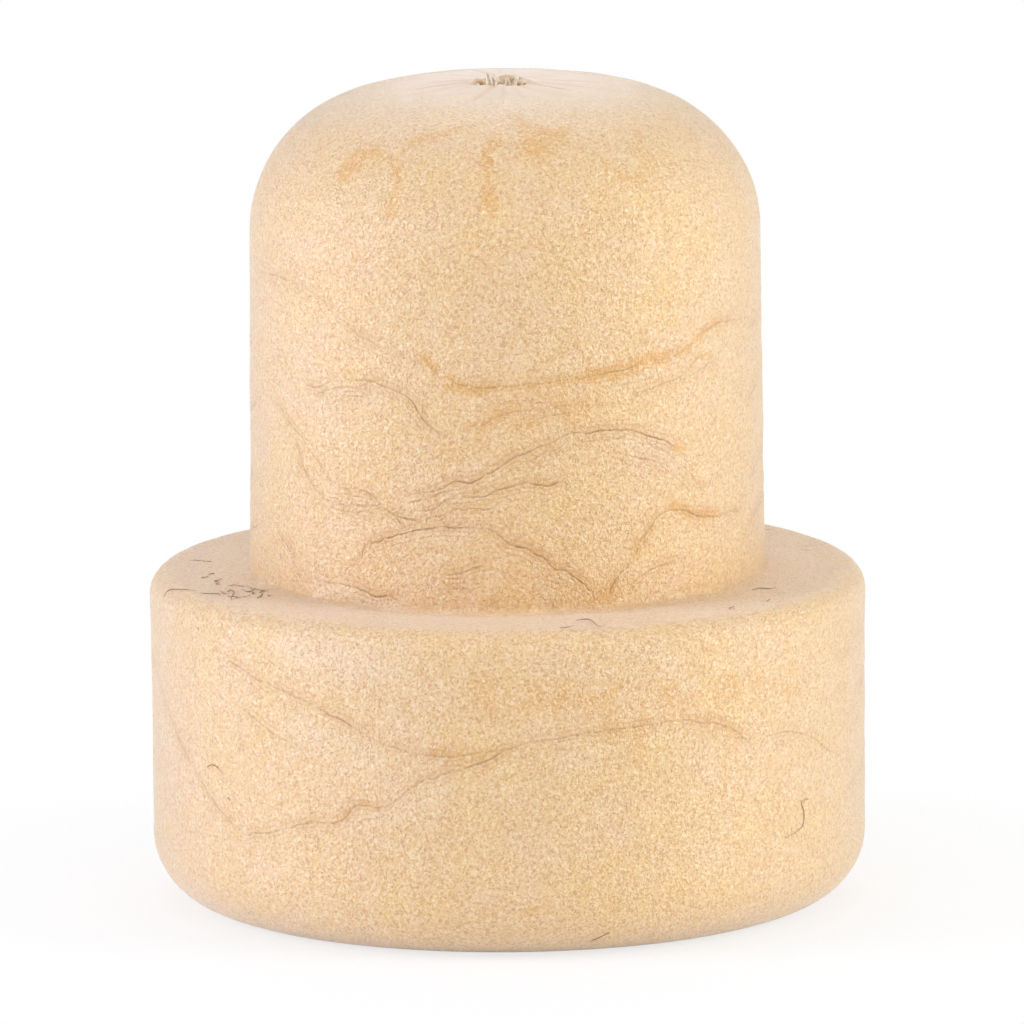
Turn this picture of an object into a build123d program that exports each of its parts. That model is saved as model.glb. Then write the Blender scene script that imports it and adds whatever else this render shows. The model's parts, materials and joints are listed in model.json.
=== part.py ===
"""Mushroom stopper for a bottle neck, moulded in one piece from foamed plastic.

It is a round body with no moving parts: a broad head, and a parallel shank that is pressed into the
neck. The part stands on the head's flat top, with the shank up, so the head is at the bottom here.

Frame: millimetres, +Z up along the axis, origin at the centre of the flat face that it stands on.
"""

import os

from build123d import *

# Head: the broad disc that is gripped to pull the stopper out.
HEAD_D = 28.0  # across the wall, just under the shoulder
WALL_DRAFT = 0.05  # how far the wall draws in on each side by the standing face
HEAD_H = 13.0
FOOT_FILLET = 2.6  # the large soft edge at the standing face
SHOULDER_FILLET = 0.9  # the tighter edge where the wall meets the shoulder

# Shank: the parallel plug, pressed into a neck of about 18.5 mm.
SHANK_D = 20.0
SHANK_L = 19.3  # from the shoulder to the highest point of the crown
ROOT_FILLET = 0.3  # in the corner between the shank and the shoulder
TIP_FILLET = 5.7  # the large lead-in round at the end
CROWN_R = 36.0  # the slight dome of the end face

# Gate scar: a shallow crater on the crown, with the torn stub of the sprue in it.
GATE_D = 2.0
GATE_DEPTH = 0.4
STUB_D = 0.7
STUB_TIP_D = 0.35
STUB_H = 0.3
STUB_ROOT = 0.1  # how far the stub's root runs into the crater's floor

head_r = HEAD_D / 2
foot_r = head_r - WALL_DRAFT
shank_r = SHANK_D / 2
total_h = HEAD_H + SHANK_L
crown_edge_z = total_h - CROWN_R + (CROWN_R**2 - shank_r**2) ** 0.5
gate_r = GATE_D / 2
crater_r = (gate_r**2 + GATE_DEPTH**2) / (2 * GATE_DEPTH)
crater_floor_z = total_h - GATE_DEPTH


with BuildPart() as stopper:
    # Half of the section, from the axis outwards, turned about Z.
    with BuildSketch(Plane.XZ) as section:
        with BuildLine():
            standing_face = Line((0, 0), (foot_r, 0))
            wall = Line(standing_face @ 1, (head_r, HEAD_H))
            shoulder = Line(wall @ 1, (shank_r, HEAD_H))
            side = Line(shoulder @ 1, (shank_r, crown_edge_z))
            crown = RadiusArc(side @ 1, (0, total_h), -CROWN_R)
            Line(crown @ 1, standing_face @ 0)
        make_face()
        for corner, radius in (
            (standing_face @ 1, FOOT_FILLET),
            (wall @ 1, SHOULDER_FILLET),
            (shoulder @ 1, ROOT_FILLET),
            (side @ 1, TIP_FILLET),
        ):
            fillet(section.vertices().sort_by_distance(corner)[0], radius=radius)
    revolve(axis=Axis.Z)

    # The crater that the broken gate left, and its torn stub.
    with Locations((0, 0, crater_floor_z + crater_r)):
        Sphere(crater_r, mode=Mode.SUBTRACT)
    with Locations((0, 0, crater_floor_z - STUB_ROOT)):
        Cone(
            bottom_radius=STUB_D / 2,
            top_radius=STUB_TIP_D / 2,
            height=STUB_ROOT + STUB_H,
            align=(Align.CENTER, Align.CENTER, Align.MIN),
        )

stopper.part.label = "stopper_body"

os.makedirs("parts", exist_ok=True)
export_step(stopper.part, "parts/stopper_body.step")

faces = stopper.faces()
shank_face = faces.filter_by(GeomType.CYLINDER).sort_by(SortBy.AREA)[-1]
shank_box = shank_face.bounding_box()
print(f"overall height {total_h:.2f} mm, volume {stopper.part.volume / 1000:.3f} cm3")
print(f"parallel shank from z {shank_box.min.Z:.3f} to {shank_box.max.Z:.3f} mm")
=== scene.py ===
# %% [markdown]
# # A moulded foam stopper, seen very close
#
# A mushroom stopper for a bottle neck is one moulding of foamed plastic. This one stands on its
# head. A plain cream solid would look dead so close up, because the eye reads the skin: hair-thin
# flow lines where fronts of foam met in the mould, amber marks where it was scorched, a suede-like
# grain, the torn gate on the crown and a few caught fibres.
#
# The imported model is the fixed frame. Everything here is made around it, and the sizes come from
# its box and from the places where it mates with other things.

# %% The fixed frame and its sizes
import json
import math
import random

import bpy
import numpy as np
from mathutils import Matrix, Vector, noise


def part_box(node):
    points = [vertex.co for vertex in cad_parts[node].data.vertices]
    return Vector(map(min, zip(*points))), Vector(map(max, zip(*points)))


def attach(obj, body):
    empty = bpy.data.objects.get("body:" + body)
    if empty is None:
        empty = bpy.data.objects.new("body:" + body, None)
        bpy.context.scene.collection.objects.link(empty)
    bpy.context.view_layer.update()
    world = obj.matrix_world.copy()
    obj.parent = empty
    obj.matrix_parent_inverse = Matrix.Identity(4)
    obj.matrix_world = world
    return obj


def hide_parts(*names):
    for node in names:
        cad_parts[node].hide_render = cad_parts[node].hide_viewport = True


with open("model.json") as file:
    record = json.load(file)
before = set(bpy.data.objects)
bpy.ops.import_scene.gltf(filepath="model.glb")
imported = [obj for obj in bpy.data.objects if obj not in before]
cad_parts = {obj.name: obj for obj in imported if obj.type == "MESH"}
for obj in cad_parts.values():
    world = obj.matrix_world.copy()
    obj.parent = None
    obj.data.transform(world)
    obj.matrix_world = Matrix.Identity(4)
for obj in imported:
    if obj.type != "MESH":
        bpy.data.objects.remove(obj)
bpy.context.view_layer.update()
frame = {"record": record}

MM = 0.001
STOPPER = "stopper_body"
low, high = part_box(STOPPER)
mounts = {mount["name"]: mount for mount in frame["record"]["mounts"]}
shank = mounts["shank"]

head_r = (high.x - low.x) / 2 / MM
shoulder_z = mounts["shoulder"]["pos_m"][2] / MM
shank_r = shank["dims"]["r_mm"]
shank_middle = shank["pos_m"][2] / MM
shank_low = shank_middle - shank["dims"]["length_mm"] / 2
shank_high = shank_middle + shank["dims"]["length_mm"] / 2
print(f"radii {head_r:.2f} and {shank_r:.2f}, parallel from {shank_low:.2f} to {shank_high:.2f} mm")

# %% [markdown]
# ## Camera
#
# A long lens from three quarters of a metre flattens the stopper the way a product picture does.
# It looks down by about ten degrees, so the shoulder shows as a thin ring, and it leans by less
# than half a degree, as a hand-levelled camera does.

# %% Camera
SENSOR = 36.0
LENS = 664.8
CAMERA_FALL = 10.5
CAMERA_LEAN = -0.434
CAMERA_REACH = 740.0
CLIP_NEAR, CLIP_FAR = 0.05, 5.0
scene = bpy.context.scene
MIDDLE_Z = 16.0
aim = Vector((0.19, 0.0, 15.16)) * MM
fall = math.radians(CAMERA_FALL)


def in_scene(name, data):
    """A new object of that name, linked into the scene."""
    made = bpy.data.objects.new(name, data)
    scene.collection.objects.link(made)
    return made


camera_data = bpy.data.cameras.new("studio_camera")
camera_data.sensor_width = SENSOR
camera_data.lens = LENS
camera_data.clip_start = CLIP_NEAR
camera_data.clip_end = CLIP_FAR
camera = in_scene("studio_camera", camera_data)
camera_z = MIDDLE_Z + CAMERA_REACH * math.sin(fall)
camera.location = (0.0, -CAMERA_REACH * MM * math.cos(fall), camera_z * MM)
gaze = (aim - camera.location).to_track_quat("-Z", "Y").to_matrix().to_4x4()
lean = Matrix.Rotation(math.radians(CAMERA_LEAN), 4, "Z")
camera.matrix_world = Matrix.Translation(camera.location) @ gaze @ lean
scene.camera = camera
scene.view_settings.view_transform = "Standard"
print("camera at", tuple(round(v, 4) for v in camera.location))

# %% [markdown]
# ## Shader sums written as Python
#
# Node trees are hard to read as lists of links. A small class wraps a socket and overloads the
# operators, so that `1 - mask` makes a Math node and gives its output back. One method, `node`,
# makes every other kind: it takes the node's type, its settings and what goes into its sockets.

# %% A wrapper for sockets
def operator(operation, reflected=False):
    """What one Python operator does to a wire: it adds a Math node."""

    def method(self, other=0.0):
        pair = [other, self] if reflected else [self, other]
        return self.board.maths(operation, *pair)

    return method


class Wire:
    """One output socket that can stand in a sum."""

    def __init__(self, board, socket):
        self.board = board
        self.socket = socket

    __add__ = __radd__ = operator("ADD")
    __sub__ = operator("SUBTRACT")
    __rsub__ = operator("SUBTRACT", reflected=True)
    __mul__ = __rmul__ = operator("MULTIPLY")
    __abs__ = operator("ABSOLUTE")


# %% A board for node trees
class Board:
    """The node tree of a material or a world, with short ways to add to it."""

    def __init__(self, owner):
        self.owner = owner
        owner.use_nodes = True
        self.tree = owner.node_tree
        self.tree.nodes.clear()

    def node(self, kind, settings=None, sockets=(), output=0):
        made = self.tree.nodes.new(kind)
        for key, value in (settings or {}).items():
            setattr(made, key, value)
        filled = sockets.items() if isinstance(sockets, dict) else enumerate(sockets)
        for key, value in filled:
            if isinstance(value, Wire):
                self.tree.links.new(value.socket, made.inputs[key])
            else:
                made.inputs[key].default_value = value
        return Wire(self, made.outputs[output]) if made.outputs else None

    def vertex_value(self, name):
        return self.node("ShaderNodeAttribute", {"attribute_name": name}, (), "Fac")

    def ease(self, value, start, end, first=0.0, last=1.0):
        """A smooth step from first at start to last at end."""
        settings = {"interpolation_type": "SMOOTHSTEP"}
        return self.node("ShaderNodeMapRange", settings, [value, start, end, first, last])

    def blend(self, factor, first, second):
        """A colour between two colours."""
        settings = {"data_type": "RGBA", "clamp_factor": True}
        return self.node("ShaderNodeMix", settings, {0: factor, 6: first, 7: second}, 2)

    def grain(self, place, per_mm, detail=2.0, roughness=0.5, distortion=0.0):
        """Noise with features of 1 / per_mm millimetres."""
        sockets = {"Vector": place, "Scale": per_mm, "Detail": detail}
        sockets |= {"Roughness": roughness, "Distortion": distortion}
        return self.node("ShaderNodeTexNoise", {"noise_dimensions": "3D"}, sockets)

    def place_mm(self):
        """The point on the object, in millimetres."""
        point = self.node("ShaderNodeTexCoord", {}, (), "Object")
        sockets = {0: point, "Scale": 1 / MM}
        return self.node("ShaderNodeVectorMath", {"operation": "SCALE"}, sockets)

    def ray_is(self, kind):
        """1 for a ray of that kind, such as Camera."""
        return self.node("ShaderNodeLightPath", {}, (), f"Is {kind} Ray")

    def maths(self, operation, *values):
        return self.node("ShaderNodeMath", {"operation": operation}, values)

    def bump(self, rise_mm):
        """A normal that follows a rise in millimetres."""
        sockets = {"Strength": 1.0, "Distance": MM, "Height": rise_mm}
        return self.node("ShaderNodeBump", {}, sockets)

    def plastic(self, sockets):
        """Finishes the board with one Principled shader."""
        return self.finish(self.node("ShaderNodeBsdfPrincipled", {}, sockets))

    def finish(self, surface):
        kind = "World" if isinstance(self.owner, bpy.types.World) else "Material"
        self.node(f"ShaderNodeOutput{kind}", {}, {"Surface": surface})
        return self.owner


def srgb(red, green, blue):
    """A colour in the usual 0 to 255 steps, turned by the sRGB curve into linear values."""
    steps = [red / 255, green / 255, blue / 255]
    linear = [s / 12.92 if s <= 0.04045 else ((s + 0.055) / 1.055) ** 2.4 for s in steps]
    return (*linear, 1.0)


# %% [markdown]
# ## Studio
#
# The stopper stands on a white sweep. Near the foot the floor is a pale matt surface, so it keeps
# the soft shadow. Farther out it turns into plain white for the camera, and the world does the
# same, so the floor has no visible edge. Two tall soft boxes at the sides leave the front a little
# darker than the flanks, and that sideways light is what brings out the grain.

# %% Floor and world
WHITE = (1.0, 1.0, 1.0, 1.0)
PAPER = srgb(251, 251, 251)
FLOOR_REACH = 600.0
FLOOR_GAP = 0.02
GLOW_NEAR = 0.74
GLOW_FROM, GLOW_TO = 13.0, 31.0
WORLD_LEVEL = 0.48


def sweep_material():
    board = Board(bpy.data.materials.new("white_sweep"))
    length = {"operation": "LENGTH"}
    away = board.node("ShaderNodeVectorMath", length, [board.place_mm()], "Value")
    paper = board.node("ShaderNodeBsdfDiffuse", {}, {"Color": PAPER})
    glow = board.node("ShaderNodeEmission", {}, {"Color": WHITE, "Strength": 1.0})
    seen = board.ray_is("Camera") + board.ray_is("Glossy") + board.ray_is("Transmission")
    far = board.ease(away, GLOW_FROM, GLOW_TO, GLOW_NEAR, 1.0)
    return board.finish(board.node("ShaderNodeMixShader", {}, [far * seen, paper, glow]))


def white_world():
    board = Board(bpy.data.worlds.new("studio_world"))
    dim = board.node("ShaderNodeBackground", {}, {"Color": WHITE, "Strength": WORLD_LEVEL})
    bright = board.node("ShaderNodeBackground", {}, {"Color": WHITE, "Strength": 1.0})
    seen = board.ray_is("Camera") + board.ray_is("Transmission")
    return board.finish(board.node("ShaderNodeMixShader", {}, [seen, dim, bright]))


corners = [(-1, -1, 0), (1, -1, 0), (1, 1, 0), (-1, 1, 0)]
floor_mesh = bpy.data.meshes.new("floor")
floor_mesh.from_pydata([Vector(c) * FLOOR_REACH * MM for c in corners], [], [(0, 1, 2, 3)])
floor_mesh.materials.append(sweep_material())
floor = in_scene("floor", floor_mesh)
floor.location.z = low.z - FLOOR_GAP * MM
scene.world = white_world()
print("floor", 2 * FLOOR_REACH, "mm across, world level", WORLD_LEVEL)

# %% Lamps
# name: bearing to the right of the front, rise, reach, width and height in mm, watts, colour
LAMPS = {
    "box_left": (-74.0, 18.0, 260.0, 110.0, 180.0, 0.415, (0.985, 0.995, 1.2)),
    "box_right": (72.0, 18.0, 260.0, 110.0, 180.0, 0.41, (1.0, 0.99, 0.98)),
    "box_back": (180.0, 40.0, 300.0, 220.0, 180.0, 0.15, (1.0, 1.0, 1.0)),
    "box_top": (0.0, 80.0, 300.0, 260.0, 200.0, 0.11, (1.0, 1.0, 1.0)),
}
middle = Vector((0.0, 0.0, MIDDLE_Z)) * MM
for name, (bearing, rise, reach, width, height, power, tint) in LAMPS.items():
    lamp = bpy.data.lights.new(name, "AREA")
    lamp.shape = "RECTANGLE"
    lamp.size = width * MM
    lamp.size_y = height * MM
    lamp.energy = power
    lamp.color = tint
    holder = in_scene(name, lamp)
    turn = math.radians(bearing)
    lift = math.radians(rise)
    level = math.cos(lift)
    way = Vector((math.sin(turn) * level, -math.cos(turn) * level, math.sin(lift)))
    holder.location = middle + way * reach * MM
    holder.rotation_euler = (-way).to_track_quat("-Z", "Y").to_euler()
    holder.visible_camera = False
print("lamps:", ", ".join(LAMPS))

# %% [markdown]
# ## The section
#
# The stopper is a body of revolution, so its skin starts as rings stacked along the section. The
# section repeats the moulding's few driving sizes. The tip's round touches both the parallel shank
# and the crown's sphere, and that gives its radius without measuring it.
#
# Rings lie closer together where there is more to show. Round the axis the points are twice as
# close in front, where the finest folds are, as they are behind.

# %% Sizes of the section
FOOT_FILLET = 2.6
WALL_DRAFT = 0.05
SHOULDER_FILLET = 0.9
ROOT_FILLET = 0.3
CROWN_R = 36.0
CROWN_DEPTH = 0.0135
crown_top = high.z / MM + CROWN_DEPTH
crown_middle = crown_top - CROWN_R
beside = shank_high - crown_middle
tip_fillet = (CROWN_R**2 - shank_r**2 - beside**2) / (2 * (CROWN_R - shank_r))
tip_r = shank_r - tip_fillet
tip_sweep = math.degrees(math.atan2(beside, tip_r))
crown_edge = CROWN_R * math.cos(math.radians(tip_sweep))
print(f"tip fillet {tip_fillet:.2f} mm over {tip_sweep:.1f} degrees, crown from r {crown_edge:.2f}")

# how many rings or steps each stretch gets
FOOT_STEPS = 13
WALL_STEPS = 51
RIM_STEPS = 9
LEDGE_STEPS = 14
ROOT_STEPS = 5
SHANK_STEPS = 101
TIP_STEPS = 39
# radius of each ring under the foot, and how often its points are halved
UNDERSIDE = ((0.6, 3), (1.5, 3), (3.0, 2), (4.5, 2), (6.5, 1), (8.5, 1), (10.0, 0), (10.9, 0))
# inside these radii the crown's rings have half and a quarter of the points
HALVED_R = 5.4
QUARTERED_R = 2.2
# inner radius of each band of the crown, and its steps: closest at the gate
CROWN_BANDS = ((QUARTERED_R, 15), (1.2, 9), (0.06, 22))

# %% Rings of the head
HEAD, SHANK = 0, 1
rings = []


def ring(r, z, out, up, part, height, thin=0):
    """One ring: radius and height, outward normal, part, place along the skin, and how thinned."""
    rings.append((r, z, out, up, part, height, thin))


def foot_r(z):
    return head_r - WALL_DRAFT * (1 - z / shoulder_z)


for r, thin in UNDERSIDE:
    height = FOOT_FILLET * (1 - math.pi / 2) - (head_r - FOOT_FILLET - r)
    ring(r, 0.0, 0.0, -1.0, HEAD, height, thin)

for turn in np.radians(np.linspace(0, 90, FOOT_STEPS)):
    z = FOOT_FILLET * (1 - math.cos(turn))
    r = foot_r(z) - FOOT_FILLET * (1 - math.sin(turn))
    height = FOOT_FILLET * (1 + turn - math.pi / 2)
    ring(r, z, math.sin(turn), -math.cos(turn), HEAD, height)

rim_low = shoulder_z - SHOULDER_FILLET
for z in np.linspace(FOOT_FILLET, rim_low, WALL_STEPS)[1:-1]:
    ring(foot_r(z), z, 1.0, 0.0, HEAD, z)

for turn in np.radians(np.linspace(0, 90, RIM_STEPS)):
    z = rim_low + SHOULDER_FILLET * math.sin(turn)
    r = foot_r(z) - SHOULDER_FILLET * (1 - math.cos(turn))
    ring(r, z, math.cos(turn), math.sin(turn), HEAD, rim_low + SHOULDER_FILLET * turn)

ledge_out = head_r - SHOULDER_FILLET
ledge_in = shank_r + ROOT_FILLET
rim_high = rim_low + SHOULDER_FILLET * math.pi / 2
for r in np.linspace(ledge_out, ledge_in, LEDGE_STEPS)[1:-1]:
    ring(r, shoulder_z, 0.0, 1.0, HEAD, rim_high + ledge_out - r)

# %% Rings of the shank and the crown
for turn in np.radians(np.linspace(0, 90, ROOT_STEPS)):
    z = shank_low - ROOT_FILLET * math.sin(math.pi / 2 - turn)
    r = ledge_in - ROOT_FILLET * math.sin(turn)
    height = shank_low - ROOT_FILLET * (math.pi / 2 - turn)
    ring(r, z, math.sin(turn), math.cos(turn), SHANK, height)

for z in np.linspace(shank_low, shank_high, SHANK_STEPS)[1:-1]:
    ring(shank_r, z, 1.0, 0.0, SHANK, z)

for turn in np.radians(np.linspace(0, tip_sweep, TIP_STEPS)):
    r = tip_r + tip_fillet * math.cos(turn)
    z = shank_high + tip_fillet * math.sin(turn)
    thin = 1 if r < HALVED_R else 0
    ring(r, z, math.cos(turn), math.sin(turn), SHANK, shank_high + tip_fillet * turn, thin)

crown_start = shank_high + tip_fillet * math.radians(tip_sweep)
outer = crown_edge
for inner, steps in CROWN_BANDS:
    for r in np.linspace(outer, inner, steps)[1:]:
        z = crown_middle + math.sqrt(CROWN_R**2 - r**2)
        out = r / CROWN_R
        thin = 1 if r > QUARTERED_R else 2
        ring(r, z, out, math.sqrt(1 - out**2), SHANK, crown_start + crown_edge - r, thin)
    outer = inner
print(len(rings), "rings")

# %% Angles round the axis, closer together in front
SPOKES = 384
FRONT_CLOSER = 0.333
FRONT_EDGE = 0.1
FRONT_SHARP = 4
even = (np.arange(SPOKES) + 0.5) / SPOKES * 2 * math.pi - math.pi
fine = np.linspace(-math.pi, math.pi, 4001)
density = 1 + FRONT_CLOSER * np.tanh((np.cos(fine) + FRONT_EDGE) * FRONT_SHARP)
share = np.concatenate([[0], np.cumsum((density[1:] + density[:-1]) / 2)])
spoke_angles = np.interp((even + math.pi) / (2 * math.pi), share / share[-1], fine)
print(f"spokes: {np.sum(np.abs(spoke_angles) < math.pi / 2)} in front of {SPOKES}")

# %% [markdown]
# ## Flow folds
#
# Foam fills the mould in lobes. Where two skins met they did not quite weld, and each meeting left
# a hair-thin fold that wanders across the surface, often with two or three fainter ones beside it.
# A noise texture makes marble, whose lines never fold back or meet in a V. So each fold here is a
# listed route: degrees from the front to the right, and millimetres up the skin.
# The curve through the points gets a small seeded wander.

# %% Folds that are listed one by one, in front
# how deep from 0 to 1, points, and where it has echoes, how many below and above it
LOWER_FOLDS = [
    (1.0, [
        (-40, 14.1), (-37.5, 14.45), (-34.2, 14.9), (-33.5, 15.2), (-31.8, 15.5), (-29.5, 15.72),
        (-25.2, 15.95), (-20.5, 16.2), (-15.2, 16.37), (-8.6, 16.36), (-3.8, 16.38), (-1.4, 16.05),
        (0.2, 15.8), (3.6, 15.65), (6.4, 15.3), (8, 15.23), (10.4, 14.68), (12, 14.68),
        (15.1, 14.33), (18.1, 13.85), (19.9, 13.47), (22, 13.1),
    ]),
    (0.8, [
        (22, 13.1), (22.6, 13.5), (23.4, 13.9), (26, 14.45), (29.4, 15), (30.8, 15.55),
        (33.6, 16.1), (35, 16.4), (37, 16.57), (39.6, 16.6), (42.3, 16.55), (48, 16.2), (55, 16.05),
        (66, 16),
    ]),
    (0.85, [(-30, 17), (-27.5, 16.85), (-25, 16.6), (-23.3, 16.35), (-20.5, 16.22)]),
    (1.0, [
        (-48, 13.7), (-44.4, 13.76), (-38.7, 13.85), (-33.7, 13.72), (-31.8, 13.57), (-30, 13.46),
        (-27.6, 13.5), (-25.3, 13.43), (-22.5, 13.12),
    ], 3),
    (0.65, [(-64, 15.6), (-60, 15), (-57, 14.7), (-54, 13.9), (-50, 13.6), (-46, 13.7)]),
    (0.4, [(-52, 14.6), (-47, 14.2), (-43, 13.9)], 0, 1),
    (0.5, [(-27.8, 14.77), (-25.3, 14.83), (-23.6, 15.06), (-19.1, 15.22)]),
    (0.45, [(-24.1, 15.56), (-20.7, 15.64), (-18.5, 15.5), (-15.5, 15.6)], 0, 1),
    (0.6, [(-17.1, 14.66), (-13.2, 14.56), (-9.3, 14.69), (-6.2, 14.83), (-3, 14.7)], 1),
    (0.4, [(-22, 14.1), (-16, 13.9), (-11, 14), (-5, 13.85)], 1),
    (0.45, [(4, 14.6), (8.4, 14.3), (12.8, 14.05), (16.5, 13.7)], 1),
    (0.4, [(5, 14), (6.4, 13.7), (11.2, 13.45), (14.3, 13.1)]),
    (0.5, [(-9.5, 15.98), (-7.7, 15.82), (-6, 15.8), (-4.6, 15.95)]),
    (0.45, [(24.5, 13.47), (28, 13.9), (31.6, 14.25), (37.1, 14.55), (43, 14.5)], 1),
    (0.4, [(38.2, 15.41), (41.5, 15.6), (45.5, 15.97)], 1),
]
MIDDLE_FOLDS = [
    (1.0, [
        (-23.8, 17.62), (-20, 17.65), (-14.5, 17.9), (-12.5, 18.12), (-8.5, 18.2), (-3.5, 18.55),
        (0, 18.9), (2.1, 19.2), (4.8, 19.4), (8.8, 19.65), (12.9, 19.97), (20, 20.02), (30, 19.9),
        (34.6, 19.58), (38.6, 19.32), (41.8, 19),
    ], 2),
    (0.9, [
        (-21, 17), (-17.5, 17), (-15.5, 17.1), (-13.5, 17.4), (-9.5, 17.6), (-4.5, 17.7),
        (-2, 17.85), (0, 18), (3.5, 18.12), (8, 18.08), (12, 18.1), (14.5, 17.9),
    ], 2),
    (0.6, [(-24.5, 17.25), (-21.2, 17.36), (-16.7, 17.54), (-13.6, 17.77), (-9.7, 17.86)]),
    (0.6, [(-23.2, 16.59), (-18.7, 16.61), (-17.1, 16.79), (-14, 16.89), (-11.2, 17.24)]),
    (0.6, [
        (-14, 17), (-16, 16.85), (-20, 16.65), (-24.5, 16.75), (-28.5, 17), (-33.7, 17.05),
        (-38.5, 16.95), (-45.5, 17.15), (-49, 17.6), (-52, 18.2), (-54, 19), (-57, 20.2),
    ], 0, 1),
    (0.6, [
        (-66.9, 20.5), (-60, 20.1), (-56.4, 19.63), (-52.5, 19.33), (-49.5, 18.79), (-46.6, 18.39),
        (-44.4, 17.97), (-39.3, 17.61), (-35.5, 17.65), (-31.8, 17.48), (-29.6, 17.24),
        (-27.4, 16.8),
    ]),
    (0.5, [(-43, 17.3), (-37.5, 17.35), (-33.5, 17.3), (-30.5, 17.2)], 0, 1),
    (0.55, [(-44, 16.75), (-40, 16.72), (-36.4, 16.66), (-31.8, 16.8), (-29.1, 16.65)], 1),
    (0.5, [
        (21.5, 19.2), (27.5, 19), (32.7, 18.76), (37.1, 18.4), (40.5, 17.9), (44.3, 17.35),
        (46.8, 16.8),
    ], 2),
    (0.45, [
        (26.4, 19.54), (31.6, 19.36), (37.1, 19), (41.1, 18.52), (46.1, 17.72), (49.6, 16.92),
    ], 1),
]
UPPER_FOLDS = [
    (0.8, [
        (-52, 21.5), (-46, 21.4), (-43.5, 21.65), (-39, 21.78), (-31, 21.95), (-28.5, 21.75),
        (-25, 21.6), (-21, 21.2), (-19.5, 20.8), (-16.5, 20.2), (-11, 19.85),
    ], 1),
    (0.5, [(-51.9, 20.9), (-46.6, 21.16), (-40.3, 21.52), (-34.5, 21.62), (-27.8, 21.46)]),
    (0.5, [
        (-46, 20.4), (-43.4, 20.7), (-40.3, 21.03), (-36.4, 21.26), (-32.7, 21.25), (-29.1, 21.07),
    ], 1),
    (0.5, [
        (-11, 19.85), (-8, 20.1), (-5.5, 20.35), (-1.5, 20.75), (3, 20.95), (9, 21.05), (20, 21.1),
    ], 0, 2),
    (0.45, [(-1.6, 20.37), (2.9, 20.45), (7.5, 20.6), (12.1, 20.81), (18.2, 20.96)]),
    (0.6, [
        (-14, 22.3), (-11, 22.1), (-7.5, 21.9), (0, 21.95), (10, 22.1), (19.2, 22.25),
        (27.8, 22.42), (32.4, 22.6), (36.8, 22.6), (44.7, 22.9), (50, 23.4), (53.2, 23.58),
        (60.7, 23.55), (72, 23.3),
    ]),
    (0.5, [
        (25, 21.35), (34.8, 21.6), (39.3, 21.7), (43.7, 21.95), (47.1, 22.35), (51.9, 22.5),
    ]),
    (0.5, [(41.1, 21.52), (46.8, 21.79), (53.9, 22.1), (58.8, 22.27)]),
    (0.5, [
        (-75, 25.2), (-62, 25.4), (-48, 25.1), (-40, 24.2), (-31, 23.4), (-24, 23), (-14, 22.4),
    ]),
]
HEAD_FOLDS = [
    (0.75, [(-88, 10.4), (-76, 9), (-66, 7.2), (-56.5, 5.5), (-48.5, 4.25)]),
    (0.75, [
        (-48.5, 4.25), (-43.5, 4.45), (-39, 4.75), (-33, 5.2), (-28.5, 5.3), (-25.5, 5.95),
        (-19.5, 6.15), (-17.3, 6.5), (-15.3, 6.95), (-11, 7.35), (-5, 7.9), (0, 8.45), (6.5, 8.85),
        (18, 9.1), (31.5, 9.1), (39.5, 8.4), (43, 7.7),
    ]),
    (0.5, [(43, 7.7), (45, 8), (49, 8.05), (54, 7.9), (60, 7.2), (68, 6.2)]),
    (0.6, [(-17, 8), (-14.5, 8.15), (-9.4, 8.2), (-3.5, 8.35), (0, 8.45)], 0, 1),
    (0.75, [
        (-52, 11.1), (-43.5, 10.5), (-35.5, 10), (-28, 9.4), (-23.5, 8.9), (-19.5, 8.5),
        (-14.5, 8.15),
    ]),
    (0.55, [(-50, 9.4), (-45, 9), (-40.5, 8.5), (-36, 8.15), (-33, 7.9)]),
    (0.3, [(21, 9), (21.2, 8.5), (20.8, 7.9)]),
]
FOLDS = [(SHANK, *fold) for fold in LOWER_FOLDS + MIDDLE_FOLDS + UPPER_FOLDS]
FOLDS += [(HEAD, *fold) for fold in HEAD_FOLDS]
print(len(FOLDS), "folds chosen in front")

# %% [markdown]
# The other side has folds of the same kind. Nobody placed them, so they are drawn from a seeded
# generator: a few long swells that rise and dip round the back, with echoes.

# %% Folds of the same kind round the back
draw = random.Random(7)


HALF_WAVES = 2.3
JITTER = 0.15
# height, rise, how deep, echoes
SHANK_SWELLS = ((15.1, 1.1, 0.8, 1), (17.6, 1.3, 0.9, 2), (20.2, 0.9, 0.6, 3), (22.8, 0.8, 0.5, 1))
HEAD_SWELLS = ((4.4, 1.3, 0.5, 0), (7.4, 1.8, 0.7, 0), (10.2, 0.7, 0.4, 0))


def swell(part, starting, stopping, base, rise, depth, echoes):
    """One long swell, from degrees drawn from the first range to degrees from the second."""
    start = draw.uniform(*starting)
    stop = draw.uniform(*stopping)
    points = []
    degrees = start
    drift = draw.uniform(-0.5, 0.5) * rise
    while degrees < stop:
        share_done = (degrees - start) / (stop - start)
        lift = math.sin(share_done * math.pi * HALF_WAVES + drift) * rise
        points.append((degrees, base + lift + draw.uniform(-JITTER, JITTER)))
        degrees += draw.uniform(3.0, 8.0)
    FOLDS.append((part, depth, points, echoes))


for base, *rest in SHANK_SWELLS:
    swell(SHANK, (62, 80), (190, 215), base, *rest)
    swell(SHANK, (196, 216), (280, 300), base - 0.6, *rest)
for base, *rest in HEAD_SWELLS:
    swell(HEAD, (66, 84), (180, 200), base, *rest)
    swell(HEAD, (188, 204), (262, 274), base + 0.5, *rest)
print(len(FOLDS), "folds in all")

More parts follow.
